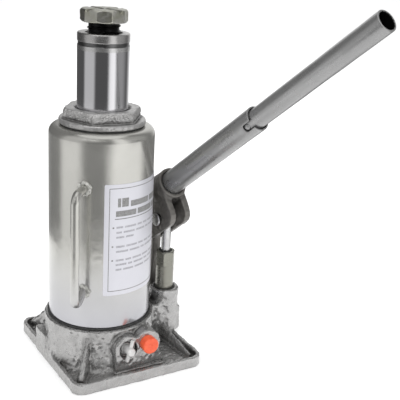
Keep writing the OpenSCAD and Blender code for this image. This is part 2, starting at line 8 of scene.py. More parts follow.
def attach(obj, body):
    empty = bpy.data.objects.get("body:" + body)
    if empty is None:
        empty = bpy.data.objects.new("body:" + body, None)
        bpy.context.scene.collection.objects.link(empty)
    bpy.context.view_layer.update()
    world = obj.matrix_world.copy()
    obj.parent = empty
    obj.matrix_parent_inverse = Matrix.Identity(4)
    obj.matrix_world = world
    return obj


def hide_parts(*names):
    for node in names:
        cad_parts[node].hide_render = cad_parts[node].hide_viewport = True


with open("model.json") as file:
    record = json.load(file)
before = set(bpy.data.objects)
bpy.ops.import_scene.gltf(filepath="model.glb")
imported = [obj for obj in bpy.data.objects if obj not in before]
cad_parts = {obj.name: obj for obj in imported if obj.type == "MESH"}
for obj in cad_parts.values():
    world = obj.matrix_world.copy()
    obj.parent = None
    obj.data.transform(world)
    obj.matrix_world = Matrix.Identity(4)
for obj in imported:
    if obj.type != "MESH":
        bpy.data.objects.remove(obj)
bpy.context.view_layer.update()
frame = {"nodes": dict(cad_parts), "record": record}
NODES = frame["nodes"]
MM = 0.001
PI = math.pi

# ---- dimensions in millimetres, from the CAD model --------------------------
PUMP_X = 59.4
TURN = math.radians(10)          # linkage's turn about the pump axis
SLOPE = math.radians(38.5)       # handle above the horizontal
PIN_Z = 107.3
PIN_W = 21.2
HANDLE_Z = PIN_Z + PIN_W / math.cos(SLOPE)
PIN_T = -PIN_W * math.tan(SLOPE)
PIVOT_T = PIN_T - 20.1
PIVOT_Y = -PIVOT_T * math.cos(SLOPE) - PIN_W * math.sin(SLOPE)
PIVOT_Z = HANDLE_Z + PIVOT_T * math.sin(SLOPE) - PIN_W * math.cos(SLOPE)
FOOT_Y, FOOT_Z = 18.0, 27.0      # link's base pin
VALVE = (2.6, 23.0)              # release valve's axis, (x, z)
CAP = (18.4, 26.0)               # overload cap's axis, (x, z)
FACE_Y = -50.0                   # front of the valve block
NUT_TOP = 203.4
SADDLE_LOW, SADDLE_TOP = 265.5, 274.9
LATCH = math.radians(-154)       # the latch's place round the handle
CARRY_TURN = math.radians(-132)  # the carry handle's place round the tank

LINKAGE = Matrix.Translation((PUMP_X, 0, 0)) @ Matrix.Rotation(TURN, 4, "Z")
HANDLE = LINKAGE @ Matrix.Translation((0, 0, HANDLE_Z)) @ Matrix.Rotation(PI / 2 - SLOPE, 4, "X")
PUMP = Matrix.Translation((PUMP_X, 0, 0))


# ---- mesh helpers -------------------------------------------------------------
def piece(name, verts, faces, body, mat, nodes=(), at=None, sharp=None, attrs=None):
    """A mesh in millimetres, moved by the matrix at, that rides on body and stands for nodes."""
    mesh = bpy.data.meshes.new(name)
    mesh.from_pydata((np.asarray(verts, float)).tolist(), [], [list(map(int, f)) for f in faces])
    if at is not None:
        mesh.transform(at)
    mesh.transform(Matrix.Scale(MM, 4))
    mesh.update()
    mesh.shade_smooth()
    if sharp is not None:
        mesh.set_sharp_from_angle(angle=math.radians(sharp))
    for key, values in (attrs or {}).items():
        layer = mesh.attributes.new(key, "FLOAT", "POINT")
        layer.data.foreach_set("value", np.asarray(values, np.float32))
    mesh.materials.append(mat)
    obj = bpy.data.objects.new(name, mesh)
    bpy.context.scene.collection.objects.link(obj)
    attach(obj, body)
    if nodes:
        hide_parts(*nodes)
    return obj


def rounded(points, radius=0.4, steps=3):
    """A closed outline with its corners rounded. A point may carry its own radius."""
    out, count = [], len(points)
    for i, p in enumerate(points):
        r = p[2] if len(p) > 2 else radius
        q = np.array(p[:2], float)
        a = np.array(points[i - 1][:2], float) - q
        b = np.array(points[(i + 1) % count][:2], float) - q
        la, lb = np.hypot(*a), np.hypot(*b)
        a, b = a / la, b / lb
        half = math.acos(max(-1, min(1, a @ b))) / 2
        if r <= 0 or q[0] < 1e-6 or half > 1.54:
            out.append(q)
            continue
        cut = min(r / math.tan(half), 0.45 * la, 0.45 * lb)
        r = cut * math.tan(half)
        mid = q + (a + b) / np.hypot(*(a + b)) * (r / math.sin(half))
        s, e = q + a * cut - mid, q + b * cut - mid
        for k in range(steps + 1):
            v = s * (1 - k / steps) + e * (k / steps)
            out.append(mid + v / np.hypot(*v) * r)
    return out


def lathe(profile, segments=96, radius=0.4, wave=None):
    """Turns a closed outline of (radius, height) about Z."""
    pts = rounded(profile, radius)
    verts, rings = [], []
    for r, z in pts:
        if r < 1e-6:
            rings.append([len(verts)])
            verts.append((0, 0, z))
            continue
        rings.append(list(range(len(verts), len(verts) + segments)))
        for k in range(segments):
            a = 2 * PI * k / segments
            q = r + (wave(a, z) if wave else 0)
            verts.append((q * math.cos(a), q * math.sin(a), z))
    faces = []
    for i, ring in enumerate(rings):
        nxt = rings[(i + 1) % len(rings)]
        if len(ring) == 1 and len(nxt) == 1:
            continue
        for k in range(segments):
            j = (k + 1) % segments
            if len(ring) == 1:
                faces.append((ring[0], nxt[j], nxt[k]))
            elif len(nxt) == 1:
                faces.append((ring[k], ring[j], nxt[0]))
            else:
                faces.append((ring[k], ring[j], nxt[j], nxt[k]))
    area = sum(pts[i][0] * pts[(i + 1) % len(pts)][1] - pts[(i + 1) % len(pts)][0] * pts[i][1]
               for i in range(len(pts)))
    if area < 0:
        faces = [f[::-1] for f in faces]
    return verts, faces


def sweep(path, radius, sides=24):
    """A round rod along a path, with closed ends."""
    path = [np.array(p, float) for p in path]
    verts, faces = [], []
    tangents = [path[1] - path[0]] + [path[i + 1] - path[i - 1] for i in range(1, len(path) - 1)]
    tangents.append(path[-1] - path[-2])
    u = np.cross(tangents[0], (0.3, 0.5, 0.81))
    for p, t in zip(path, tangents):
        t = t / np.linalg.norm(t)
        u = u - t * (u @ t)
        u = u / np.linalg.norm(u)
        v = np.cross(t, u)
        for k in range(sides):
            a = 2 * PI * k / sides
            verts.append(p + radius * (math.cos(a) * u + math.sin(a) * v))
    for i in range(len(path) - 1):
        for k in range(sides):
            j = (k + 1) % sides
            faces.append((i * sides + k, i * sides + j, (i + 1) * sides + j, (i + 1) * sides + k))
    faces.append(tuple(range(sides - 1, -1, -1)))
    faces.append(tuple(len(path) * sides - sides + k for k in range(sides)))
    return verts, faces


# ---- solids as distance fields, meshed with surface nets ----------------------
def smin(a, b, k):
    h = np.maximum(k - np.abs(a - b), 0) / k
    return np.minimum(a, b) - h * h * k / 4


def smax(a, b, k):
    h = np.maximum(k - np.abs(a - b), 0) / k
    return np.maximum(a, b) + h * h * k / 4


def slab(d, v, lo, hi, e):
    """The flat outline d drawn out along v from lo to hi, with edges rounded by e."""
    a, b = d + e, np.abs(v - (lo + hi) / 2) - (hi - lo) / 2 + e
    return np.sqrt(np.maximum(a, 0) ** 2 + np.maximum(b, 0) ** 2) + np.minimum(np.maximum(a, b), 0) - e


def rect(x, y, cx, cy, hx, hy, r):
    a, b = np.abs(x - cx) - hx + r, np.abs(y - cy) - hy + r
    return np.sqrt(np.maximum(a, 0) ** 2 + np.maximum(b, 0) ** 2) + np.minimum(np.maximum(a, b), 0) - r


def block(x, y, z, lo, hi, r):
    return slab(rect(x, y, (lo[0] + hi[0]) / 2, (lo[1] + hi[1]) / 2, (hi[0] - lo[0]) / 2,
                     (hi[1] - lo[1]) / 2, r), z, lo[2], hi[2], r)


def rod(a, b, v, ca, cb, r, lo, hi, e=0.4):
    """A round rod along v, centred on (ca, cb)."""
    return slab(np.sqrt((a - ca) ** 2 + (b - cb) ** 2) - r, v, lo, hi, e)


def polygon(x, y, points):
    """Distance to a flat polygon, whichever way round it is drawn."""
    d, inside = None, False
    for i, (ax, ay) in enumerate(points):
        bx, by = points[i - 1]
        ex, ey = bx - ax, by - ay
        wx, wy = x - ax, y - ay
        t = np.clip((wx * ex + wy * ey) / (ex * ex + ey * ey), 0, 1)
        q = (wx - ex * t) ** 2 + (wy - ey * t) ** 2
        d = q if d is None else np.minimum(d, q)
        one, two, three = y >= ay, y < by, ex * wy > ey * wx
        inside = inside ^ ((one & two & three) | (~one & ~two & ~three))
    return np.where(inside, -1.0, 1.0) * np.sqrt(d)


def prism(x, y, pairs, turn, reach, blend):
    """The outline of a prism whose parallel sides come in pairs, each side reach from the middle."""
    flat = None
    for k in range(pairs):
        a = math.radians(turn + 180 * k // pairs)
        d = np.abs(x * math.cos(a) + y * math.sin(a)) - reach
        flat = d if flat is None else smax(flat, d, blend)
    return flat


def convex(circles, n=16):
    """The outline round several circles (x, y, r), as a polygon."""
    pts = sorted((x + r * math.cos(2 * PI * k / n), y + r * math.sin(2 * PI * k / n))
                 for x, y, r in circles for k in range(n))
    hull = []
    for order in (pts, pts[::-1]):
        part = []
        for p in order:
            while len(part) > 1 and ((part[-1][0] - part[-2][0]) * (p[1] - part[-2][1])
                                     - (part[-1][1] - part[-2][1]) * (p[0] - part[-2][0])) <= 1e-9:
                part.pop()
            part.append(p)
        hull += part[:-1]
    return hull


EDGES = [((0, 0, 0), (1, 0, 0)), ((0, 1, 0), (1, 1, 0)), ((0, 0, 1), (1, 0, 1)), ((0, 1, 1), (1, 1, 1)),
         ((0, 0, 0), (0, 1, 0)), ((1, 0, 0), (1, 1, 0)), ((0, 0, 1), (0, 1, 1)), ((1, 0, 1), (1, 1, 1)),
         ((0, 0, 0), (0, 0, 1)), ((1, 0, 0), (1, 0, 1)), ((0, 1, 0), (0, 1, 1)), ((1, 1, 0), (1, 1, 1))]


def nets(field, lo, hi, step):
    """The surface of field (negative inside) between two corners, as points, faces, normals and
    how enclosed each point is (0 open, 1 in a tight corner)."""
    lo, hi = np.array(lo, float) - 1.7 * step, np.array(hi, float) + 1.7 * step
    axes = [np.arange(lo[i], hi[i], step) for i in range(3)]
    x, y, z = axes[0][:, None, None], axes[1][None, :, None], axes[2][None, None, :]
    f = np.ascontiguousarray(np.broadcast_to(field(x, y, z), [len(a) for a in axes]))
    neg = f < 0
    n = [s - 1 for s in f.shape]
    inside = sum(neg[a:a + n[0], b:b + n[1], c:c + n[2]].astype(np.int8)
                 for a in (0, 1) for b in (0, 1) for c in (0, 1))
    cells = np.argwhere((inside > 0) & (inside < 8))
    ids = np.full(n, -1, np.int64)
    ids[tuple(cells.T)] = np.arange(len(cells))
    total, used = np.zeros((len(cells), 3)), np.zeros(len(cells))
    for a, b in EDGES:
        pa, pb = cells + a, cells + b
        va, vb = f[tuple(pa.T)], f[tuple(pb.T)]
        cross = (va < 0) != (vb < 0)
        t = np.where(cross, va / np.where(cross, va - vb, 1), 0)
        total += np.where(cross[:, None], pa + t[:, None] * (np.array(b) - a), 0)
        used += cross
    pts = lo + step * total / used[:, None]
    faces = []
    for axis in range(3):
        u, v = (axis + 1) % 3, (axis + 2) % 3
        head = [slice(None)] * 3
        tail = [slice(None)] * 3
        head[axis], tail[axis] = slice(0, -1), slice(1, None)
        here = np.argwhere(neg[tuple(head)] != neg[tuple(tail)])
        here = here[(here[:, u] > 0) & (here[:, v] > 0) & (here[:, u] < n[u]) & (here[:, v] < n[v])]
        corners = []
        for du, dv in ((1, 1), (0, 1), (0, 0), (1, 0)):
            c = here.copy()
            c[:, u] -= du
            c[:, v] -= dv
            corners.append(ids[tuple(c.T)])
        quads = np.stack(corners, 1)
        out = neg[tuple(here.T)]
        quads[~out] = quads[~out][:, ::-1]
        faces.append(quads)
    faces = np.concatenate(faces)
    h = 0.1 * step

    def slope(p):
        g = [field(*(p + h * np.eye(3)[i]).T) - field(*(p - h * np.eye(3)[i]).T) for i in range(3)]
        return np.stack(g, 1) / (2 * h)

    for _ in range(2):
        g = slope(pts)
        move = -g * (field(*pts.T) / np.maximum((g * g).sum(1), 0.2))[:, None]
        far = np.maximum(np.linalg.norm(move, axis=1) / (0.5 * step), 1)
        pts = pts + move / far[:, None]
    g = slope(pts)
    normals = g / np.maximum(np.linalg.norm(g, axis=1), 1e-6)[:, None]
    reach = 3.0
    enclosed = np.clip(1 - field(*(pts + reach * normals).T) / reach, 0, 1)
    return pts, faces, normals, enclosed


def ripple(pts, seed, low, high, waves=48):
    """Smooth random bumps of about unit height, with wavelengths from low to high."""
    rng = np.random.default_rng(seed)
    out = np.zeros(len(pts))
    for _ in range(waves):
        d = rng.normal(size=3)
        d *= 2 * PI / (np.linalg.norm(d) * rng.uniform(low, high))
        out += np.sin(pts @ d + rng.uniform(0, 2 * PI))
    return out * math.sqrt(2 / waves)


# ---- materials ------------------------------------------------------------------
class Paint:
    """A Principled material with procedural colour, roughness and bump in object space."""

    def __init__(self, name, **fixed):
        self.mat = bpy.data.materials.new(name)
        self.mat.use_nodes = True
        self.tree = self.mat.node_tree
        self.bsdf = self.tree.nodes["Principled BSDF"]
        for key, value in fixed.items():
            self.bsdf.inputs[key.replace("_", " ")].default_value = value
        self.coords = self.node("ShaderNodeTexCoord").outputs["Object"]

    def node(self, kind, links=None, **values):
        n = self.tree.nodes.new(kind)
        for key, value in values.items():
            setattr(n, key, value)
        for key, value in (links or {}).items():
            self.set(n.inputs[key], value)
        return n

    def set(self, socket, value):
        if isinstance(value, bpy.types.NodeSocket):
            self.tree.links.new(value, socket)
        else:
            socket.default_value = value

    def noise(self, scale, lo=0.0, hi=1.0, detail=3.0, stretch=(1, 1, 1), cut=(0.3, 0.7)):
        """Noise with features of about 1/scale metres, from lo to hi."""
        where = self.node("ShaderNodeMapping", {"Vector": self.coords, "Scale": stretch}).outputs[0]
        fac = self.node("ShaderNodeTexNoise", {"Vector": where, "Scale": scale, "Detail": detail})
        return self.ramp(fac.outputs["Fac"], cut[0], cut[1], lo, hi)

    def ramp(self, value, a, b, lo=0.0, hi=1.0):
        n = self.node("ShaderNodeMapRange", {"Value": value, 1: a, 2: b, 3: lo, 4: hi})
        return n.outputs[0]

    def math(self, how, a, b=0.0):
        return self.node("ShaderNodeMath", {0: a, 1: b}, operation=how).outputs[0]

    def mix(self, fac, a, b):
        n = self.node("ShaderNodeMix", data_type="RGBA")
        self.set(n.inputs[0], fac)
        self.set(n.inputs[6], a if isinstance(a, bpy.types.NodeSocket) else (*a, 1))
        self.set(n.inputs[7], b if isinstance(b, bpy.types.NodeSocket) else (*b, 1))
        return n.outputs[2]

    def attribute(self, name):
        return self.node("ShaderNodeAttribute", attribute_name=name).outputs["Fac"]

    def axis(self, i):
        return self.node("ShaderNodeSeparateXYZ", {0: self.coords}).outputs[i]

    def color(self, value):
        self.set(self.bsdf.inputs["Base Color"], value)
        return self

    def rough(self, value):
        self.set(self.bsdf.inputs["Roughness"], value)
        return self

    def bump(self, height, distance, strength=1.0):
        before = self.bsdf.inputs["Normal"].links
        links = {"Height": height, "Distance": distance, "Strength": strength}
        if before:
            links["Normal"] = before[0].from_socket
        self.set(self.bsdf.inputs["Normal"], self.node("ShaderNodeBump", links).outputs[0])
        return self


def grey(v, warm=0.0):
    return (v * (1 + warm), v, v * (1 - warm))


def cast_paint(name, light, dark, pits, metallic=0.55, rough=0.3):
    """Aluminium paint over a rough casting: mottled, with painted shade darkening the corners, and left light
    on the edges.
    """
    p = Paint(name, Metallic=metallic)
    base = p.mix(p.noise(120, detail=4), light, [v * 0.82 for v in light])
    base = p.mix(p.noise(260, 0, 0.16, detail=3, cut=(0.58, 0.75)), base, dark)
    # painted shade: the colour goes towards dark in tight corners and pockets, a little unevenly
    painted_corner_shade = p.ramp(p.attribute("enclosed"), 0.08, 0.62)
    base = p.mix(p.math("MULTIPLY", painted_corner_shade, p.noise(150, 0.85, 1.0)), base, dark)
    p.color(base).rough(p.noise(200, rough, rough + 0.16, detail=4))
    p.bump(p.noise(240, detail=1), 0.0009, pits)
    p.bump(p.noise(700, detail=1), 0.0002, pits)
    return p


def sheet_paint(name, light, dark, metallic, rough, peel=0.25):
    """Smooth metallic paint with a little orange peel, a few marks, and painted shade, near black, on enclosed
    and inner faces.
    """
    p = Paint(name, Metallic=metallic)
    base = p.mix(p.noise(28, detail=3), light, [v * 0.93 for v in light])
    base = p.mix(p.noise(500, 0, 0.35, detail=3, cut=(0.72, 0.8)), base, dark)
    # painted shade: enclosed and inner faces go near black
    base = p.mix(p.ramp(p.attribute("enclosed"), 0.25, 0.7), base, grey(0.01))
    p.color(base).rough(p.noise(60, rough - 0.05, rough + 0.06, detail=5))
    p.bump(p.noise(160, detail=1), 0.00012, peel)
    return p


def metal(name, light, dark, rough, grain=(1, 1, 12), scale=700):
    """Bare metal with fine tool marks across the grain direction."""
    p = Paint(name, Metallic=1.0)
    base = p.mix(p.noise(160, detail=4), light, dark)
    p.color(base).rough(p.noise(scale, rough * 0.8, rough * 1.3, detail=4, stretch=grain))
    p.bump(p.noise(scale, detail=2, stretch=grain), 0.00005, 0.35)
    return p


M = {}
M["cast_silver"] = cast_paint("cast_silver", grey(0.42, 0.01), grey(0.06, 0.04), 0.2, 0.82, 0.2)
M["nut_silver"] = cast_paint("nut_silver", grey(0.48, 0.01), grey(0.07, 0.03), 0.5, 0.75, 0.3)
M["tank_paint"] = sheet_paint("tank_paint", (0.52, 0.515, 0.485), grey(0.12, 0.05), 0.84, 0.2)
tank = M["tank_paint"]
# the tank paint turns darker and cooler towards the bottom of the tank
under = tank.bsdf.inputs["Base Color"].links[0].from_socket
tank.color(tank.mix(tank.ramp(tank.axis(2), 0.10, 0.04), under, (0.46, 0.46, 0.485)))
M["handle_paint"] = sheet_paint("handle_paint", grey(0.31), grey(0.08), 0.75, 0.28)
M["socket_paint"] = cast_paint("socket_paint", (0.16, 0.153, 0.142), grey(0.025), 0.15, 0.6, 0.28)
M["weld_paint"] = cast_paint("weld_paint", (0.56, 0.56, 0.53), grey(0.1, 0.04), 0.4)
M["steel"] = metal("steel", grey(0.62), grey(0.50), 0.24)
M["pin_steel"] = metal("pin_steel", grey(0.70), grey(0.58), 0.3, grain=(1, 1, 1))
M["pump_paint"] = sheet_paint("pump_paint", (0.26, 0.258, 0.225), grey(0.06), 0.75, 0.28)
M["stem_paint"] = cast_paint("stem_paint", grey(0.62, 0.01), grey(0.1), 0.3, 0.35, 0.4)
M["dark_steel"] = metal("dark_steel", grey(0.10), grey(0.05), 0.38)
M["black_oxide"] = metal("black_oxide", grey(0.02), grey(0.008), 0.3)
M["zinc"] = metal("zinc", (0.50, 0.495, 0.47), (0.33, 0.33, 0.25), 0.34, scale=260)
M["copper"] = metal("copper", (0.75, 0.40, 0.26), (0.5, 0.25, 0.15), 0.35)
M["bronze"] = metal("bronze", (0.62, 0.44, 0.20), (0.45, 0.30, 0.12), 0.3)

rubber = Paint("black_rubber")
rubber.color(rubber.mix(rubber.noise(300), grey(0.012), grey(0.03))).rough(rubber.noise(900, 0.5, 0.75))
rubber.bump(rubber.noise(1600), 0.0001, 0.4)
M["black_rubber"] = rubber
plastic = Paint("orange_plastic", Coat_Weight=0.15, Coat_Roughness=0.3)
plastic.color(plastic.mix(plastic.noise(260, detail=4), (0.80, 0.115, 0.035), (0.66, 0.075, 0.025)))
plastic.rough(plastic.noise(500, 0.34, 0.5)).bump(plastic.noise(900), 0.00012, 0.4)
M["orange_plastic"] = plastic
seal = Paint("seal_plastic")
seal.color(seal.mix(seal.noise(300), (0.75, 0.70, 0.58), (0.65, 0.6, 0.48))).rough(seal.noise(500, 0.4, 0.6))
M["seal_plastic"] = seal
film = Paint("label_film", Coat_Weight=0.3, Coat_Roughness=0.2, Metallic=0.25)
film.color(film.mix(film.noise(40, detail=4), (0.57, 0.57, 0.615), (0.53, 0.53, 0.57)))
film.rough(film.noise(90, 0.3, 0.42, detail=4)).bump(film.noise(500, detail=1), 0.00005, 0.3)
M["label_film"] = film
ink = Paint("label_ink")
ink.color(ink.mix(ink.noise(1200, detail=3), grey(0.13), grey(0.26))).rough(ink.noise(500, 0.4, 0.55))
M["label_ink"] = ink
pale_ink = Paint("label_pale_ink")
pale_ink.color(pale_ink.mix(pale_ink.noise(1500, detail=3), (0.24, 0.24, 0.26), (0.42, 0.42, 0.45)))
pale_ink.rough(pale_ink.noise(500, 0.4, 0.55))
M["label_pale_ink"] = pale_ink

# hard chrome, mirror bright below a satin collar
chrome = Paint("ram_chrome", Metallic=1.0)
height = chrome.axis(2)
collar = chrome.ramp(height, 0.2455, 0.2462)
groove = chrome.math("SUBTRACT", chrome.ramp(height, 0.2488, 0.2493), chrome.ramp(height, 0.2518, 0.2523))
upper = chrome.mix(chrome.ramp(height, 0.2518, 0.2523), grey(0.66, 0.005), grey(0.52, 0.015))
body_tone = chrome.mix(collar, (0.70, 0.695, 0.715), upper)
# painted shade: the groove band is painted dark grey over the body tone
chrome.color(chrome.mix(groove, body_tone, grey(0.16)))
fine = chrome.noise(1400, 0.05, 0.09, detail=3, stretch=(1, 1, 9))
satin = chrome.noise(800, 0.24, 0.34, detail=4, stretch=(1, 1, 9))
chrome.rough(chrome.math("ADD", chrome.math("MULTIPLY", collar, satin),
                         chrome.math("MULTIPLY", chrome.math("SUBTRACT", 1.0, collar), fine)))
chrome.bump(chrome.noise(900, detail=2, stretch=(1, 1, 10)), 0.00002, 0.3)
M["ram_chrome"] = chrome
MATS = {key: p.mat for key, p in M.items()}

SLOT_MATERIAL = {"cast_silver": "cast_silver", "tank_paint": "tank_paint", "grey_paint": "handle_paint",
                 "ram_chrome": "ram_chrome", "steel": "steel", "black_oxide": "black_oxide",
                 "zinc": "zinc", "copper": "copper", "bronze": "bronze", "black_rubber": "black_rubber",
                 "orange_plastic": "orange_plastic", "label_film": "label_film",
                 "seal_plastic": "seal_plastic"}
for part in frame["record"]["subparts"]:
    mesh = NODES[part["node"]].data
    mesh.materials.clear()
    mesh.materials.append(MATS[SLOT_MATERIAL[part["material_slot"]]])


# ---- tank, nut, gaskets and label -------------------------------------------------
def tank_wave(a, z):
    return 0.06 * math.sin(3 * a + 0.4) + 0.03 * math.sin(z / 19) * math.sin(2 * a)


def add_tank():
    shell = [(40, 39.2, 0.6), (40, 190.2, 9), (26, 190.2, 0), (26, 187.7, 0), (37.5, 187.7, 6.5),
             (37.5, 39.2, 0.2)]
    pts = rounded(shell, steps=12)
    outline = []
    for i, p in enumerate(pts):          # more rings along the straight wall
        q = pts[(i + 1) % len(pts)]
        n = max(1, int(np.hypot(*(q - p)) / 8))
        outline += [tuple(p + (q - p) * k / n) + (0,) for k in range(n)]
    v, f = lathe(outline, 160, 0, tank_wave)
    piece("tank_shell", v, f, "base_unit", MATS["tank_paint"], ["reservoir_tank"], sharp=50)
    v, f = lathe([(36.8, 37.6), (41.2, 37.6), (41.2, 39.2), (36.8, 39.2)], 128, 0.6)
    piece("tank_foot_gasket", v, f, "base_unit", MATS["black_rubber"], ["tank_bottom_gasket"])
    v, f = lathe([(26, 190.2), (31.4, 190.2), (31.4, 191.2), (26, 191.2)], 128, 0.4)
    piece("tank_head_gasket", v, f, "base_unit", MATS["black_rubber"], ["tank_top_gasket"])


def nut_field(x, y, z):
    rad = np.sqrt(x * x + y * y)
    hexagon = slab(prism(x, y, 3, 23, 30.5 * math.cos(PI / 6), 1.2), z, 193, NUT_TOP, 1.1)
    hexagon = smax(hexagon, (rad - 29.6 + (z - NUT_TOP + 1.6) * 0.9) * 0.8, 1.0)
    rim = slab(rad - 32.6, z, 191.2, 195.3, 1.3)
    body = smin(hexagon, rim, 1.0)
    bore = np.minimum(slab(rad - 25, z, 180, 197.2, 0.01), slab(rad - 20.45, z, 180, 220, 0.01))
    bore = np.minimum(bore, (rad - 21.6 + (NUT_TOP - z) * 0.9) * 0.74)
    return smax(body, -bore, 0.5)


def add_nut():
    pts, faces, normals, enclosed = nets(nut_field, (-33, -33, 191.2), (33, 33, NUT_TOP), 0.42)
    rad = np.hypot(pts[:, 0], pts[:, 1])
    side = np.clip((pts[:, 2] - 196) / 1.0, 0, 1) * np.clip((rad - 23.5) / 1.5, 0, 1)
    steep = np.where(np.abs(normals[:, 2]) > 0.7, 0.3, 1.0)
    rough = ripple(pts, 3, 1.2, 2.8) * 0.24 + ripple(pts, 4, 4, 9, 16) * 0.08
    pts = pts + normals * (rough * side * steep + 0.02 * ripple(pts, 5, 4, 9, 16))[:, None]
    piece("tank_top_nut", pts, faces, "base_unit", MATS["nut_silver"], ["tank_nut"],
          attrs={"enclosed": enclosed})


def strip(az0, az1, z0, z1, inner, outer, corner=0.0):
    """A thin curved rectangle on the tank."""
    n = max(2, int(abs(az1 - az0)) + 1)
    rows = [(z0, 0.0), (z0 + corner * 0.3, 0.3), (z0 + corner, 1.0), (z1 - corner, 1.0),
            (z1 - corner * 0.3, 0.3), (z1, 0.0)] if corner else [(z0, 1.0), (z1, 1.0)]
    verts, faces = [], []
    for r in (inner, outer):
        for z, full in rows:
            inset = math.degrees(corner / outer) * (1 - full) if corner else 0
            for k in range(n + 1):
                a = math.radians(az0 + inset + (az1 - az0 - 2 * inset) * k / n)
                verts.append((r * math.cos(a), r * math.sin(a), z))
    w, h = n + 1, len(rows)
    for layer in (0, 1):
        for j in range(h - 1):
            for k in range(n):
                q = [layer * w * h + j * w + k, layer * w * h + j * w + k + 1,
                     layer * w * h + (j + 1) * w + k + 1, layer * w * h + (j + 1) * w + k]
                faces.append(q if layer else q[::-1])
    rim = ([j * w for j in range(h)][::-1] + list(range(1, w)) + [j * w + n for j in range(1, h)]
           + [(h - 1) * w + k for k in range(n - 1, 0, -1)])
    for i, a in enumerate(rim):
        b = rim[(i + 1) % len(rim)]
        faces.append((a, b, b + w * h, a + w * h))
    return verts, faces


def strips(name, rows, mat, nodes=(), corner=0.0, inner=40.3, outer=40.36):
    verts, faces = [], []
    for row in rows:
        v, f = strip(*row, inner, outer, corner)
        faces += [[i + len(verts) for i in q] for q in f]
        verts += v
    return piece(name, verts, faces, "base_unit", mat, nodes, sharp=30)


def add_label():
    strips("tank_label_film", [(-111, -5, 66.4, 154.3)], MATS["label_film"],
           ["tank_label"], corner=0.8, inner=40.0, outer=40.3)
    left, right, low, high = -105.6, -10.4, 70.0, 151.2
    w, t = 0.55, 0.75
    border = [(left, right, low - w / 2, low + w / 2), (left, right, high - w / 2, high + w / 2),
              (left - t / 2, left + t / 2, low, high), (right - t / 2, right + t / 2, low, high)]
    rule = [(-99.5, -16.5, 127.3, 128.0)]
    marks = [(-101.9, -100.1, 120.3, 121.5), (-102.5, -100.7, 105.4, 106.6), (-102.5, -100.7, 94.3, 95.5)]
    title = [(-96.7, -93.2, 136.8, 143.6), (-92.0, -84.2, 136.8, 143.6), (-81.6, -54.0, 136.4, 140.9),
             (-51.5, -20.0, 136.4, 140.9), (-98.6, -74.0, 129.5, 133.9), (-72.0, -46.0, 129.5, 133.9),
             (-44.0, -17.5, 129.5, 133.9)]
    strips("tank_label_marks", border + rule + marks + title, MATS["label_ink"])
    rng = np.random.default_rng(12)
    words = []
    for z, end in ((121.0, -19), (117.0, -21), (113.1, -72), (105.7, -18), (101.8, -22), (94.8, -19),
                   (91.2, -22), (87.2, -19)):
        a = -97.7
        while a < end - 4:
            b = min(a + rng.uniform(5, 15), end)
            words.append((a, b, z - 0.75, z + 0.75))
            a = b + 2.1
    strips("tank_label_lines", words, MATS["label_pale_ink"])


add_tank()
add_nut()
add_label()


# ---- ram, extension screw and saddle ------------------------------------------------
def add_ram():
    top, low = 258.2, 66.2
    outline = [(12.25, 154.2, 0), (0, 154.2), (0, low), (14, low, 0.5), (14, low + 16, 0),
               (19.25, low + 16, 0.6), (19.25, top - 9, 0.3), (18.75, top - 8.7, 0.2), (18.75, top - 6.5, 0.2),
               (19.1, top - 6.2, 0.2), (19.25, top - 5.9, 0.1), (19.25, top, 1.1), (13.7, top, 0.5),
               (13.7, top - 3.5, 0.2), (12.25, top - 3.5, 0.2)]
    v, f = lathe(outline, 160, 0.2)
    piece("ram_chromed", v, f, "ram", MATS["ram_chrome"], ["ram"], sharp=40)


def add_screw():
    """The extension screw, with a real helical thread."""
    low, high, pitch, around, step = 169.5, 265.5, 4.0, 96, 0.25
    count = int((high - low) / step)
    verts, faces = [], []
    for j in range(count + 1):
        z = low + (high - low) * j / count
        for k in range(around):
            u = ((z - low) / pitch - k / around) % 1.0
            tooth = min(max(1.5 - 3.4 * abs(2 * u - 1), 0.0), 1.0)
            ends = min(1.0, (z - low) / 2.0 + 0.2)
            neck = 0.0 if 0.8 < z - low - 2.2 < 3.0 else 1.0
            r = 11.2 + 0.95 * tooth * ends * neck - (1.0 - ends) * 1.0
            a = 2 * PI * k / around
            verts.append((r * math.cos(a), r * math.sin(a), z))
    for j in range(count):
        for k in range(around):
            m = (k + 1) % around
            faces.append((j * around + k, j * around + m, (j + 1) * around + m, (j + 1) * around + k))
    faces.append(tuple(range(around - 1, -1, -1)))
    faces.append(tuple(count * around + k for k in range(around)))
    piece("extension_screw_thread", verts, faces, "screw", MATS["black_oxide"],
          ["extension_screw"], sharp=40)


def saddle_field(x, y, z):
    rad = np.sqrt(x * x + y * y)
    decagon = prism(x, y, 5, -77, 17.4 * math.cos(PI / 10), 0.3)
    body = slab(decagon, z, SADDLE_LOW, SADDLE_TOP, 0.4)
    body = smax(body, (rad - 16.2 - (SADDLE_TOP - z) * 0.875) * 0.75, 0.4)
    body = smax(body, (rad - 16.0 - (z - SADDLE_LOW) * 0.89) * 0.75, 0.4)
    for deg in (20, 110):
        a = math.radians(deg)
        across = np.abs(-x * math.sin(a) + y * math.cos(a))
        body = smax(body, -((across + (SADDLE_TOP - z) - 2.2) * 0.7), 0.25)
    return body


def add_saddle():
    pts, faces, normals, enclosed = nets(saddle_field, (-17.6, -17.6, SADDLE_LOW),
                                         (17.6, 17.6, SADDLE_TOP), 0.34)
    pts = pts + normals * (0.05 * ripple(pts, 8, 3, 8, 24))[:, None]
    piece("saddle_block", pts, faces, "screw", MATS["zinc"], ["saddle"],
          attrs={"enclosed": enclosed})


add_ram()
add_screw()
add_saddle()


# ---- base casting ---------------------------------------------------------------------
def spin(x, y, deg):
    a = math.radians(deg)
    return x * math.cos(a) + y * math.sin(a), -x * math.sin(a) + y * math.cos(a)


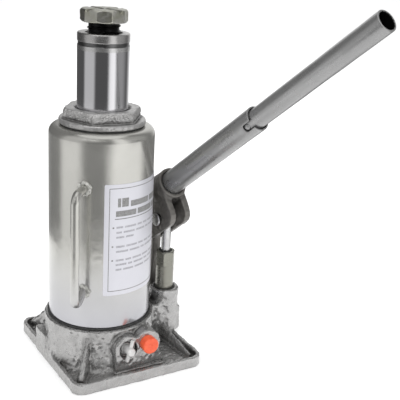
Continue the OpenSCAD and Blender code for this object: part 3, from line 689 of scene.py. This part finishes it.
def wedge(u, v, z, a, b, half, e=1.3):
    """An upright rib along u, whose top edge runs from a to b (u, z)."""
    du, dz = b[0] - a[0], b[1] - a[1]
    n = math.hypot(du, dz)
    top = ((z - a[1]) * du - (u - a[0]) * dz) / n
    side = np.abs(v) - half - 0.05 * np.maximum(a[1] - z, 0)
    d = smax(smax(side, top, 2 * e), z - max(a[1], b[1]), e)
    return smax(d, np.maximum(u - max(a[0], b[0]), min(a[0], b[0]) - 8 - u), e)


def base_field(x, y, z):
    rad = np.sqrt(x * x + y * y)
    plate = slab(rect(x, y, 9.5, 0, 55, 61, 9), z, 0, 9, 1.3)
    pocket = smax(rect(x, y, 9.5, 0, 52, 58, 6.5) + (9 - z) * 0.35, 5 - z, 1.6)
    body = smax(plate, -pocket, 1.0)
    flare = 3.4 * np.clip((24 - z) / 19, 0, 1) ** 1.6
    pedestal = smax((rad - 43.3 - flare) * 0.97, np.abs(z - 19.3) - 18.3, 1.6)
    body = smin(body, pedestal, 4.0)
    for deg, reach in ((-126, 66.5), (126, 66.5), (50, 70)):
        u, v = spin(x, y, deg)
        body = smin(body, wedge(u, v, z, (44, 31), (reach, 8.2), 1.3), 2.0)
    u, v = spin(x - 56, y + 54, 96)
    low_rib = smax(smax(np.abs(v) - 1.4, (z - 8.6 - np.clip(u, 0, 46) * 0.26) * 0.96, 2.0),
                   np.maximum(-u, u - 46), 1.0)
    body = smin(body, low_rib, 2.5)
    lug = block(x, y, z, (-45.5, 3.5, 0), (-33, 24, 20.2), 1.2)
    body = smin(body, lug, 1.8)
    face = polygon(x, z, [(-8, 1), (35, 1), (35, 6), (29, 20), (18.8, 30), (2.6, 30), (-8, 23)])
    face = smin(face, np.sqrt((x - VALVE[0]) ** 2 + (z - VALVE[1]) ** 2) - 11, 1.5)
    face = smin(face, np.sqrt((x - 18.8) ** 2 + (z - 24.6) ** 2) - 11.2, 1.5)
    valve_block = slab(face - (y - FACE_Y) * 0.03, y, FACE_Y, -28, 1.4)
    body = smin(body, valve_block, 1.8)
    boss = rod(x, y, z, PUMP_X, 0, 12, 6, 45.9, 1.6)
    px, py = spin(x - PUMP_X, y, 10)
    foot = block(px, py, z, (-11, -9.5, 7), (11, 24.5, 28), 0.9)
    cheeks = rod(py, z, px, FOOT_Y, FOOT_Z, 6.5, -11, 11, 1.2)
    web = block(x, y, z, (30, -11, 1), (60, 11, 35), 2.0)
    body = smin(body, smin(smin(boss, smin(foot, cheeks, 1.5), 2.5), web, 3.0), 3.5)
    body = np.maximum(smax(body, -45.6 - x, 1.0), -z)
    # bores and slots
    cuts = [slab(rad - 25, z, 14, 60, 0.01), slab(rad - 10, z, 7, 60, 0.01),
            slab(rad - 42, z, 37.6, 60, 0.01), rod(x, y, z, PUMP_X, 0, 9, 20, 60, 0.01),
            rod(x, y, z, PUMP_X, 0, 3.2, 10, 30, 0.01),
            block(px, py, z, (-4.5, 10.5, 17), (4.5, 30.5, 47), 1.0),
            rod(x, z, y, *VALVE, 4.25, -60, -37.4, 0.01), rod(x, z, y, *CAP, 4, -60, -35, 0.01),
            rod(x, z, y, *VALVE, 3.2, -40, -30.5, 0.01)]
    for cut in cuts:
        body = np.maximum(body, -cut)
    recess = rod(x, z, y, *VALVE, 7.5, -60, -45, 0.8)
    body = smax(body, -recess, 0.8)
    step_line = block(x, y, z, (7, -52, 7.0), (32, -49.1, 7.9), 0.3)
    return smax(body, -step_line, 0.4)


def add_base():
    step = 0.55
    pts, faces, normals, enclosed = nets(base_field, (-46.2, -61, 0), (71.4, 61, 46), step)
    rad = np.hypot(pts[:, 0], pts[:, 1])
    bored = (rad < 25.3) | (np.hypot(pts[:, 0] - PUMP_X, pts[:, 1]) < 9.3)
    under = pts[:, 2] < 0.25
    seat = np.abs(pts[:, 2] - 37.6) < 0.2
    quiet = np.where(bored | under | seat, 0.0, 1.0)
    bumps = ripple(pts, 1, 2.6, 6.0) * 0.12 + ripple(pts, 2, 9, 22, 20) * 0.16
    pts = pts + normals * (bumps * quiet)[:, None]
    pts[:, 2] = np.maximum(pts[:, 2], 0)
    piece("base_body", pts, faces, "base_unit", MATS["cast_silver"], ["base_casting"],
          attrs={"enclosed": enclosed})


add_base()


# ---- carry handle -----------------------------------------------------------------------
def add_carry():
    path = []
    reach, low, high, bend, foot, dip = 60.0, 70.0, 150.8, 7.0, 39.4, math.radians(20)
    knee = reach - bend * (1 + math.sin(dip))
    low_centre = low + bend * math.cos(dip) - (knee - 40) * math.tan(dip)
    for x in np.linspace(foot, knee, 6)[:-1]:
        path.append((x, 0, low - (x - 40) * math.tan(dip)))
    for k in range(15):
        a = (PI / 2 + dip) * k / 14 - dip
        path.append((reach - bend + bend * math.sin(a), 0, low_centre - bend * math.cos(a)))
    for z in np.linspace(low_centre, high - bend, 20)[1:-1]:
        path.append((reach, 0, z))
    for k in range(11):
        a = PI / 2 * k / 10
        path.append((reach - bend + bend * math.cos(a), 0, high - bend + bend * math.sin(a)))
    for x in np.linspace(reach - bend, foot, 5)[1:]:
        path.append((x, 0, high))
    turn = Matrix.Rotation(CARRY_TURN, 4, "Z")
    v, f = sweep(path, 3.2, 32)
    piece("carry_handle_rod", v, f, "base_unit", MATS["tank_paint"], ["carry_handle"],
          at=turn, sharp=50)

    def bead(x, y, z):
        d = None
        for h in (69.6, 150.8):
            ring = np.sqrt((np.sqrt(y * y + (z - h) ** 2) - 3.9) ** 2 + (x - 39.9) ** 2) - 1.55
            d = ring if d is None else np.minimum(d, ring)
        lumps = 0.45 * np.sin(x * 2.1 + 1) * np.sin(y * 1.7) + 0.5 * np.sin(z * 1.3 + y * 0.9)
        lumps = lumps + 0.35 * np.sin(y * 2.9 + 2) * np.sin(z * 2.3)
        return np.maximum(d - lumps * 0.75, 39.6 - np.sqrt(x * x + y * y))

    pts, faces, normals, enclosed = nets(bead, (38, -8, 62), (44, 8, 158), 0.4)
    piece("carry_handle_beads", pts, faces, "base_unit", MATS["weld_paint"],
          ["carry_handle_welds"], at=turn, attrs={"enclosed": enclosed})


add_carry()


# ---- pump, plunger, link and pins -----------------------------------------------------------
def add_pump():
    def barrel(x, y, z):
        rad = np.sqrt(x * x + y * y)
        hexagon = prism(x, y, 3, 23, 8.3 * math.cos(PI / 6), 0.4)
        head = smax(slab(hexagon, z, 65.8, 78.4, 0.5), (rad - 7.9 + (z - 77.6)) * 0.7, 0.4)
        d = np.minimum(slab(rad - 9, z, 20, 44.9, 0.3), slab(rad - 7.4, z, 20, 67, 0.3))
        d = smin(d, head, 0.3)
        d = np.maximum(d, -slab(rad - 4.02, z, 22, 90, 0.01))
        return np.maximum(d, -slab(rad - 5.5, z, 75.4, 90, 0.01))

    pts, faces, normals, enclosed = nets(barrel, (-9, -9, 20), (9, 9, 78.4), 0.34)
    outside = np.hypot(pts[:, 0], pts[:, 1]) > 6.5
    pts = pts + normals * (0.02 * outside * ripple(pts, 21, 3, 9, 16))[:, None]
    piece("pump_barrel", pts, faces, "base_unit", MATS["pump_paint"], ["pump_cylinder"],
          at=PUMP, attrs={"enclosed": enclosed})
    v, f = lathe([(7.4, 44.9), (9, 44.9), (9, 46.3), (7.4, 46.3)], 64, 0.5)
    piece("pump_foot_gasket", v, f, "base_unit", MATS["dark_steel"], ["pump_cylinder_gasket"],
          at=PUMP)
    v, f = lathe([(3.95, 75.4), (5.5, 75.4), (5.5, 77.8), (3.95, 78.1)], 64, 0.3)
    piece("pump_wiper", v, f, "base_unit", MATS["black_rubber"], ["plunger_wiper"], at=PUMP)

    def plunger(x, y, z):
        shaft = rod(x, y, z, 0, 0, 3.9, 41, 104.3, 0.4)
        eye = rod(y, z, x, 0, PIN_Z, 6.5, -4.1, 4.1, 0.6)
        d = smin(shaft, eye, 2.0)
        d = np.maximum(d, -rod(y, z, x, 0, PIN_Z, 3, -20, 20, 0.01))
        rad = np.sqrt(x * x + y * y)
        return np.maximum(d, -np.maximum(np.abs(z - 44.5) - 1.5, 2.7 - rad))

    pts, faces, normals, enclosed = nets(plunger, (-4.2, -6.6, 41), (4.2, 6.6, 114), 0.34)
    piece("pump_piston", pts, faces, "plunger", MATS["steel"], ["pump_plunger"], at=LINKAGE,
          attrs={"enclosed": enclosed})


def link_field(x, y, z):
    dy, dz = PIVOT_Y - FOOT_Y, PIVOT_Z - FOOT_Z
    n = math.hypot(dy, dz)
    u = ((y - FOOT_Y) * dy + (z - FOOT_Z) * dz) / n
    v = ((y - FOOT_Y) * dz - (z - FOOT_Z) * dy) / n
    bar = rect(u, v, n / 2, 0, n / 2, 4.5, 0.1)
    ends = np.minimum(np.sqrt(u * u + v * v), np.sqrt((u - n) ** 2 + v * v)) - 6
    flat = smin(bar, ends, 4)
    hole = np.minimum(np.sqrt(u * u + v * v) - 3.05, np.sqrt((u - n) ** 2 + v * v) - 3)
    return slab(np.maximum(flat, -hole), x, -4.1, 4.1, 0.8)


def pin(name, y, z, body, node, clip, clip_node):
    """A headed pin across the linkage and the spring clip in its groove."""
    at = LINKAGE @ Matrix.Translation((0, y, z)) @ Matrix.Rotation(PI / 2, 4, "Y")
    outline = [(0, -12.5), (4.6, -12.5, 0.6), (5.2, -11.9, 0.2), (5.2, -10.9, 0.3), (3, -10.9, 0.1),
               (3, 11.0, 0.1), (2.6, 11.0, 0.1), (2.6, 11.9, 0.1), (3, 11.9, 0.1), (3, 12.6, 0.5), (0, 12.6)]
    v, f = lathe(outline, 48, 0.2)
    piece(name, v, f, body, MATS["pin_steel"], [node], at=at, sharp=40)
    verts, faces = [], []
    angles = np.linspace(math.radians(35), math.radians(325), 40)
    for a in angles:
        fat = 1.0 if abs(math.sin(1.5 * a)) > 0.55 else 0.62
        for r, h in ((2.7, 11.05), (3.3 + 1.5 * fat, 11.05), (3.3 + 1.5 * fat, 11.85), (2.7, 11.85)):
            verts.append((r * math.cos(a), r * math.sin(a), h))
    for i in range(len(angles) - 1):
        for k in range(4):
            m = (k + 1) % 4
            faces.append((4 * i + k, 4 * i + m, 4 * i + 4 + m, 4 * i + 4 + k))
    faces += [(3, 2, 1, 0), tuple(4 * len(angles) - 4 + k for k in range(4))]
    faces = [f[::-1] for f in faces]
    piece(clip, verts, faces, body, MATS["dark_steel"], [clip_node], at=at, sharp=30)


def add_linkage():
    pts, faces, normals, enclosed = nets(link_field, (-4.2, 8, 20), (4.2, 26, 102), 0.4)
    pts = pts + normals * (0.04 * ripple(pts, 31, 2.5, 7))[:, None]
    piece("link_bar", pts, faces, "link", MATS["socket_paint"], ["pump_link"], at=LINKAGE,
          attrs={"enclosed": enclosed})
    pin("plunger_pin_turned", 0, PIN_Z, "plunger", "plunger_pin", "plunger_pin_spring_clip",
        "plunger_pin_clip")
    pin("link_pin_turned", PIVOT_Y, PIVOT_Z, "link", "link_top_pin", "link_pin_spring_clip", "link_pin_clip")
    at = LINKAGE @ Matrix.Translation((0, FOOT_Y, FOOT_Z)) @ Matrix.Rotation(PI / 2, 4, "Y")
    v, f = lathe([(0, -12), (3, -12, 0.7), (3, 12, 0.7), (0, 12)], 48, 0.5)
    piece("link_foot_pin", v, f, "base_unit", MATS["pin_steel"], ["link_base_pin"], at=at, sharp=40)


add_pump()
add_linkage()


# ---- handle socket and handle -----------------------------------------------------------------
EAR = convex([(-7, 21.7, 9.8), (PIVOT_T - 1, 21.7, 9.8), (-21, 2, 6), (-0.5, 4, 4)])


def socket_field(x, y, z):
    """In the handle's frame: x across, -y towards the pins, z along the handle."""
    w = -y
    rad = np.sqrt(x * x + y * y)
    ear = polygon(z, w, EAR)
    ears = np.minimum(slab(ear, x, 4.5, 10.3, 1.2), slab(ear, x, -10.3, -4.5, 1.2))
    sleeve = slab(rad - 12.8, z, -27, 7, 1.3)
    d = smin(sleeve, ears, 3.0)
    d = np.maximum(d, -slab(rad - 9.75, z, -24, 40, 0.01))
    d = smax(d, -slab(rad - 10.5 + np.abs(z - 7) * 0.8, z, 5, 9, 0.01), 0.4)
    d = np.maximum(d, -rod(z, w, x, PIVOT_T, PIN_W, 3.05, -20, 20, 0.01))
    slot_hole = slab(rect(z, w, PIN_T + 0.7, PIN_W, 5.1, 4, 4), x, -20, 20, 0.01)
    return smax(d, -slot_hole, 0.5)


def add_socket():
    pts, faces, normals, enclosed = nets(socket_field, (-12.9, -32, -46.5), (12.9, 12.9, 7.1), 0.5)
    rad = np.hypot(pts[:, 0], pts[:, 1])
    quiet = np.clip((rad - 10) / 1.0, 0, 1)
    bumps = 0.07 * ripple(pts, 41, 2.2, 6) + 0.1 * ripple(pts, 42, 9, 20, 16)
    pts = pts + normals * (bumps * quiet)[:, None]
    piece("handle_clevis", pts, faces, "socket", MATS["socket_paint"], ["handle_socket"],
          at=HANDLE, attrs={"enclosed": enclosed})


def lower_field(x, y, z):
    rad = np.sqrt(x * x + y * y)
    d = slab(np.abs(rad - 8.675) - 0.825, z, -23.8, 121, 0.4)
    u, v = x * math.cos(LATCH) + y * math.sin(LATCH), -x * math.sin(LATCH) + y * math.cos(LATCH)
    notch = rect(v, z, 0, 126, 2.8, 13.5, 1.6)
    d = smax(d, -np.maximum(notch, -u), 0.4)
    return np.maximum(d, -rect(y, z, 0, -24, 2, 8, 0.5))


def upper_field(x, y, z):
    rad = np.sqrt(x * x + y * y)
    return slab(np.abs(rad - 6.8) - 0.7, z, 76, 246.8, 0.45)


def add_tubes():
    for body, field, lo, hi, node in (
            ("lower_tube", lower_field, (-9.6, -9.6, -23.8), (9.6, 9.6, 121), "lower_handle_tube"),
            ("upper_tube", upper_field, (-7.6, -7.6, 76), (7.6, 7.6, 246.8), "upper_handle_tube")):
        pts, faces, normals, _ = nets(field, lo, hi, 0.45)
        inner = hi[0] - 1.2
        # painted shade: the faces inside the bore are marked so the paint turns them near black
        bore = np.where(np.hypot(pts[:, 0], pts[:, 1]) < inner, 1.0, 0.0)
        pts = pts + normals * (0.03 * ripple(pts, 51, 12, 40, 16))[:, None]
        piece(body + "_pipe", pts, faces, body, MATS["handle_paint"], [node], at=HANDLE,
              attrs={"enclosed": bore})
    at = HANDLE @ Matrix.Rotation(LATCH, 4, "Z") @ Matrix.Translation((0, 0, 115.2))
    at = at @ Matrix.Rotation(PI / 2, 4, "Y")
    v, f = lathe([(0, 5.6), (2.4, 5.6, 0), (2.4, 7.7, 0.6), (1.4, 8.7, 0.9), (0, 8.9)], 40, 0.3)
    piece("latch_button", v, f, "upper_tube", MATS["handle_paint"], ["handle_latch_stud"],
          at=at, sharp=50)


add_socket()
add_tubes()


# ---- release valve, overload cap and filler plug ---------------------------------------------------
def add_valves():
    front = Matrix.Translation((VALVE[0], 0, VALVE[1])) @ Matrix.Rotation(PI / 2, 4, "X")
    outline = [(0, 34.77), (2, 34.77), (2, 37.77, 0), (4.2, 37.77), (4.2, 41.6, 0), (3.0, 41.6, 0),
               (3.0, 43.8, 0), (4.2, 43.8, 0), (4.2, 46), (3.4, 46.2), (3.4, 54.9, 0.2), (2.7, 56.0, 0.3),
               (0, 56.0)]
    v, f = lathe(outline, 64, 0.3)
    piece("release_stem", v, f, "release_valve", MATS["stem_paint"], ["release_valve"],
          at=front, sharp=40)
    at = Matrix.Translation((VALVE[0], -52, VALVE[1])) @ Matrix.Rotation(math.radians(15), 4, "Y")
    v, f = lathe([(0, -9), (1.6, -9, 0.6), (1.6, 9, 0.6), (0, 9)], 32, 0.4)
    piece("release_pin", v, f, "release_valve", MATS["stem_paint"], ["release_cross_pin"],
          at=at, sharp=40)
    front = Matrix.Translation((CAP[0], 0, CAP[1])) @ Matrix.Rotation(PI / 2, 4, "X")
    outline = [(0, 48.4), (3, 48.4, 0), (3, 47), (3.9, 47), (3.9, 50, 0), (6.5, 50.05, 0.4), (6.5, 56.6, 0.5),
               (5.9, 57.6, 0.8), (4.4, 57.7, 0.4), (1.6, 57.45, 0.5), (0.9, 57.1, 0.3), (0, 57.0)]

    def ribs(a, z):
        return -0.12 * max(0.0, math.cos(24 * a)) if 50.6 < z < 56.2 else 0.0

    v, f = lathe(outline, 144, 0.3, ribs)
    piece("overload_cap_moulded", v, f, "cap", MATS["orange_plastic"], ["overload_cap"],
          at=front, sharp=40)
    back = Matrix.Rotation(math.radians(80), 4, "Z") @ Matrix.Translation((0, 0, 166))
    back = back @ Matrix.Rotation(PI / 2, 4, "Y")
    outline = [(0, 39), (2.2, 39, 0), (2.2, 35.5), (4, 35.5), (4, 39.9, 0), (6.5, 39.4, 0.3),
               (6.4, 41.2, 0.7), (3.4, 42, 1.0), (0, 41.7)]
    v, f = lathe(outline, 64, 0.3)
    piece("filler_plug_moulded", v, f, "base_unit", MATS["black_rubber"], ["filler_plug"],
          at=back, sharp=50)


add_valves()


# ---- studio ---------------------------------------------------------------------------------------
def stage_mesh(name, verts, faces, mat):
    mesh = bpy.data.meshes.new(name)
    mesh.from_pydata(verts, [], faces)
    mesh.materials.append(mat)
    obj = bpy.data.objects.new(name, mesh)
    bpy.context.scene.collection.objects.link(obj)
    return obj


def glow(name):
    mat = bpy.data.materials.new(name)
    mat.use_nodes = True
    tree = mat.node_tree
    tree.nodes.clear()
    emit = tree.nodes.new("ShaderNodeEmission")
    level = tree.nodes.new("ShaderNodeAttribute")
    level.attribute_name = "level"
    tree.links.new(level.outputs["Fac"], emit.inputs["Strength"])
    out = tree.nodes.new("ShaderNodeOutputMaterial")
    tree.links.new(emit.outputs[0], out.inputs[0])
    return mat


# the studio's soft boxes: how bright the rest of the room is, and then each box's
# middle and half width round the object, its soft edge (all in degrees) and its brightness
RAM_ROOM = (0.1, ((185, 25, 15, 0.5), (285, 15, 15, 1.0), (320, 30, 40, 0.25), (405, 25, 40, 0.8)))
TANK_ROOM = (0.2, ((180, 25, 20, 0.9), (300, 40, 30, 1.2), (435, 25, 40, 0.4)))


def room_light(azimuth, room):
    """How bright the room is in one direction."""
    level, boxes = room
    for middle, half, edge, bright in boxes:
        away = abs((azimuth - middle + 180) % 360 - 180)
        u = min(max((half - away) / edge + 0.5, 0.0), 1.0)
        level += bright * u * u * (3 - 2 * u)
    return level


RING_RADIUS = 0.28


def add_studio():
    floor_mat = bpy.data.materials.new("floor_white")
    floor_mat.use_nodes = True
    bsdf = floor_mat.node_tree.nodes["Principled BSDF"]
    bsdf.inputs["Base Color"].default_value = (0.93, 0.93, 0.93, 1)
    bsdf.inputs["Roughness"].default_value = 0.9
    bsdf.inputs["Specular IOR Level"].default_value = 0.1
    bsdf.inputs["Emission Color"].default_value = (1, 1, 1, 1)
    bsdf.inputs["Emission Strength"].default_value = 0.07
    s = 12.0
    stage_mesh("studio_floor", [(-s, -s, 0), (s, -s, 0), (s, s, 0), (-s, s, 0)], [(0, 1, 2, 3)], floor_mat)
    # a ring of soft light and dark round the object, seen only in its reflections
    verts, faces, levels = [], [], []
    rows = ((0.0, TANK_ROOM, 0.85), (0.13, TANK_ROOM, 1.0), (0.16, RAM_ROOM, 1.0), (0.4, RAM_ROOM, 1.0),
            (0.7, RAM_ROOM, 0.6))
    n = 180
    for height, room, fade in rows:
        for k in range(n):
            a = 360 * k / n
            levels.append(fade * room_light(a, room))
            turn = math.radians(a)
            verts.append((RING_RADIUS * math.cos(turn), RING_RADIUS * math.sin(turn), height))
    for j in range(len(rows) - 1):
        for k in range(n):
            m = (k + 1) % n
            faces.append((j * n + k, j * n + m, (j + 1) * n + m, (j + 1) * n + k))
    ring = stage_mesh("studio_ring", verts, faces, glow("ring_glow"))
    data = ring.data.attributes.new("level", "FLOAT", "POINT")
    data.data.foreach_set("value", levels)
    ring.visible_camera = False
    ring.visible_diffuse = False
    ring.visible_shadow = False
    ring.visible_transmission = False
    world = bpy.data.worlds.new("studio")
    world.use_nodes = True
    world.node_tree.nodes["Background"].inputs[0].default_value = (1, 1, 1, 1)
    world.node_tree.nodes["Background"].inputs[1].default_value = 1.0
    bpy.context.scene.world = world
    for name, where, size, power in (("key", (-0.9, -0.9, 1.3), 0.9, 11), ("fill", (1.2, -0.7, 0.9), 0.9, 4),
                                     ("rim", (0.3, 1.3, 1.0), 0.8, 5)):
        lamp = bpy.data.lights.new(name, "AREA")
        lamp.size = size
        lamp.energy = power
        obj = bpy.data.objects.new(name, lamp)
        obj.location = where
        obj.rotation_euler = (Vector((0, 0, 0.12)) - Vector(where)).to_track_quat("-Z", "Y").to_euler()
        bpy.context.scene.collection.objects.link(obj)


def add_camera():
    """The photographer's camera: where it stands, which way it looks and its lens."""
    stand = (-0.24803, -0.54383, 0.33129)
    az, pitch, roll = math.radians(-31.89), math.radians(18.40), math.radians(3.31)
    back = Vector((math.sin(az) * math.cos(pitch), -math.cos(az) * math.cos(pitch), math.sin(pitch)))
    right = Vector((math.cos(az), math.sin(az), 0))
    up = back.cross(right)
    right, up = right * math.cos(roll) + up * math.sin(roll), up * math.cos(roll) - right * math.sin(roll)
    lens = bpy.data.cameras.new("camera")
    lens.sensor_width = 36
    lens.lens = 72.612
    cam = bpy.data.objects.new("camera", lens)
    cam.matrix_world = Matrix(((right.x, up.x, back.x, stand[0]), (right.y, up.y, back.y, stand[1]),
                               (right.z, up.z, back.z, stand[2]), (0, 0, 0, 1)))
    bpy.context.scene.collection.objects.link(cam)
    bpy.context.scene.camera = cam


add_studio()
add_camera()
bpy.context.scene.view_settings.view_transform = "Standard"
